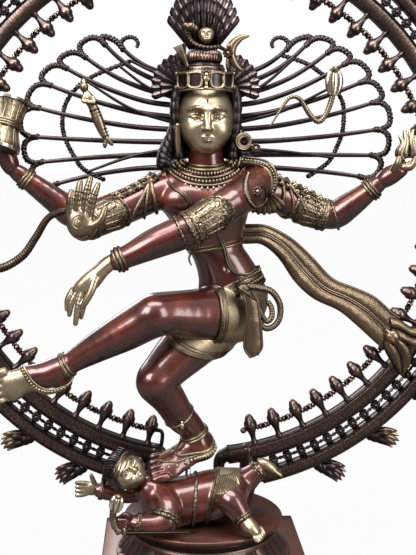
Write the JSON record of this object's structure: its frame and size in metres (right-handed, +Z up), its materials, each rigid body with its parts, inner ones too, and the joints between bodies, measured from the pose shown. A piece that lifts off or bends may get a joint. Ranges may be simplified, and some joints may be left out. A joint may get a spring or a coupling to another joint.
{
  "type": "dancing figure statue",
  "caption": "Cast brass dancing figure with many arms, standing on a dwarf inside an open ring of flames, on a lotus pedestal and a hollow square plinth.",
  "frame": {"origin": "centre of the lower face of the square plinth", "axes": "+Z up, the dancer faces -Y, +X to the right of somebody who faces the dancer; left and right in node names are -X and +X"},
  "size_m": [1.0668, 0.272, 1.2],
  "materials": {
    "brown_patina_brass": "glossy red-brown patina, polished on the high spots",
    "pale_gold_brass": "pale antique gold, satin, with dark recesses",
    "dark_antique_brass": "near-black patina rubbed back to copper on the raised engraving",
    "fixing_steel": "plain zinc-plated"
  },
  "bodies": {
    "root": {"plinth": "brown_patina_brass", "lotus_pedestal": "dark_antique_brass", "figure_stud": "fixing_steel", "stud_nut": "fixing_steel", "ring_bolt_left": "fixing_steel", "ring_bolt_right": "fixing_steel", "ring_bracket": "dark_antique_brass", "inner_rail_left": "dark_antique_brass", "inner_rail_right": "dark_antique_brass", "outer_rail_left": "dark_antique_brass", "outer_rail_right": "dark_antique_brass", "lattice_left": "dark_antique_brass", "lattice_right": "dark_antique_brass", "balusters_left": "dark_antique_brass", "balusters_right": "dark_antique_brass", "ring_crest": "dark_antique_brass", "shorts": "pale_gold_brass", "torso": "brown_patina_brass", "head": "pale_gold_brass", "hair_crown": "dark_antique_brass", "side_hair_left": "dark_antique_brass", "side_hair_right": "dark_antique_brass", "diadem": "pale_gold_brass", "feather_fan": "dark_antique_brass", "hair_skull": "pale_gold_brass", "hair_cobra": "dark_antique_brass", "crescent_moon": "dark_antique_brass", "datura_flower": "dark_antique_brass", "ear_drop_left": "dark_antique_brass", "ear_ring_right": "dark_antique_brass", "locks_left": "dark_antique_brass", "locks_right": "dark_antique_brass", "mermaid": "pale_gold_brass", "lock_cobra": "pale_gold_brass", "sacred_thread": "brown_patina_brass", "belly_band": "pale_gold_brass", "drum_arm": "brown_patina_brass", "blessing_arm": "brown_patina_brass", "fire_arm": "brown_patina_brass", "pointing_arm": "brown_patina_brass", "necklace": "pale_gold_brass", "drum_hand": "pale_gold_brass", "drum": "pale_gold_brass", "blessing_hand": "pale_gold_brass", "arm_snake": "dark_antique_brass", "pointing_hand": "pale_gold_brass", "fire_hand": "pale_gold_brass", "fire_flame": "pale_gold_brass", "flying_sash": "dark_antique_brass", "waist_scarf": "pale_gold_brass", "raised_leg": "brown_patina_brass", "raised_foot": "pale_gold_brass", "standing_leg": "brown_patina_brass", "dwarf_body": "brown_patina_brass", "standing_foot": "brown_patina_brass", "dwarf_shorts": "pale_gold_brass", "dwarf_head": "pale_gold_brass", "dwarf_blade": "pale_gold_brass", "dwarf_cobra": "pale_gold_brass"}
  },
  "joints": []
}
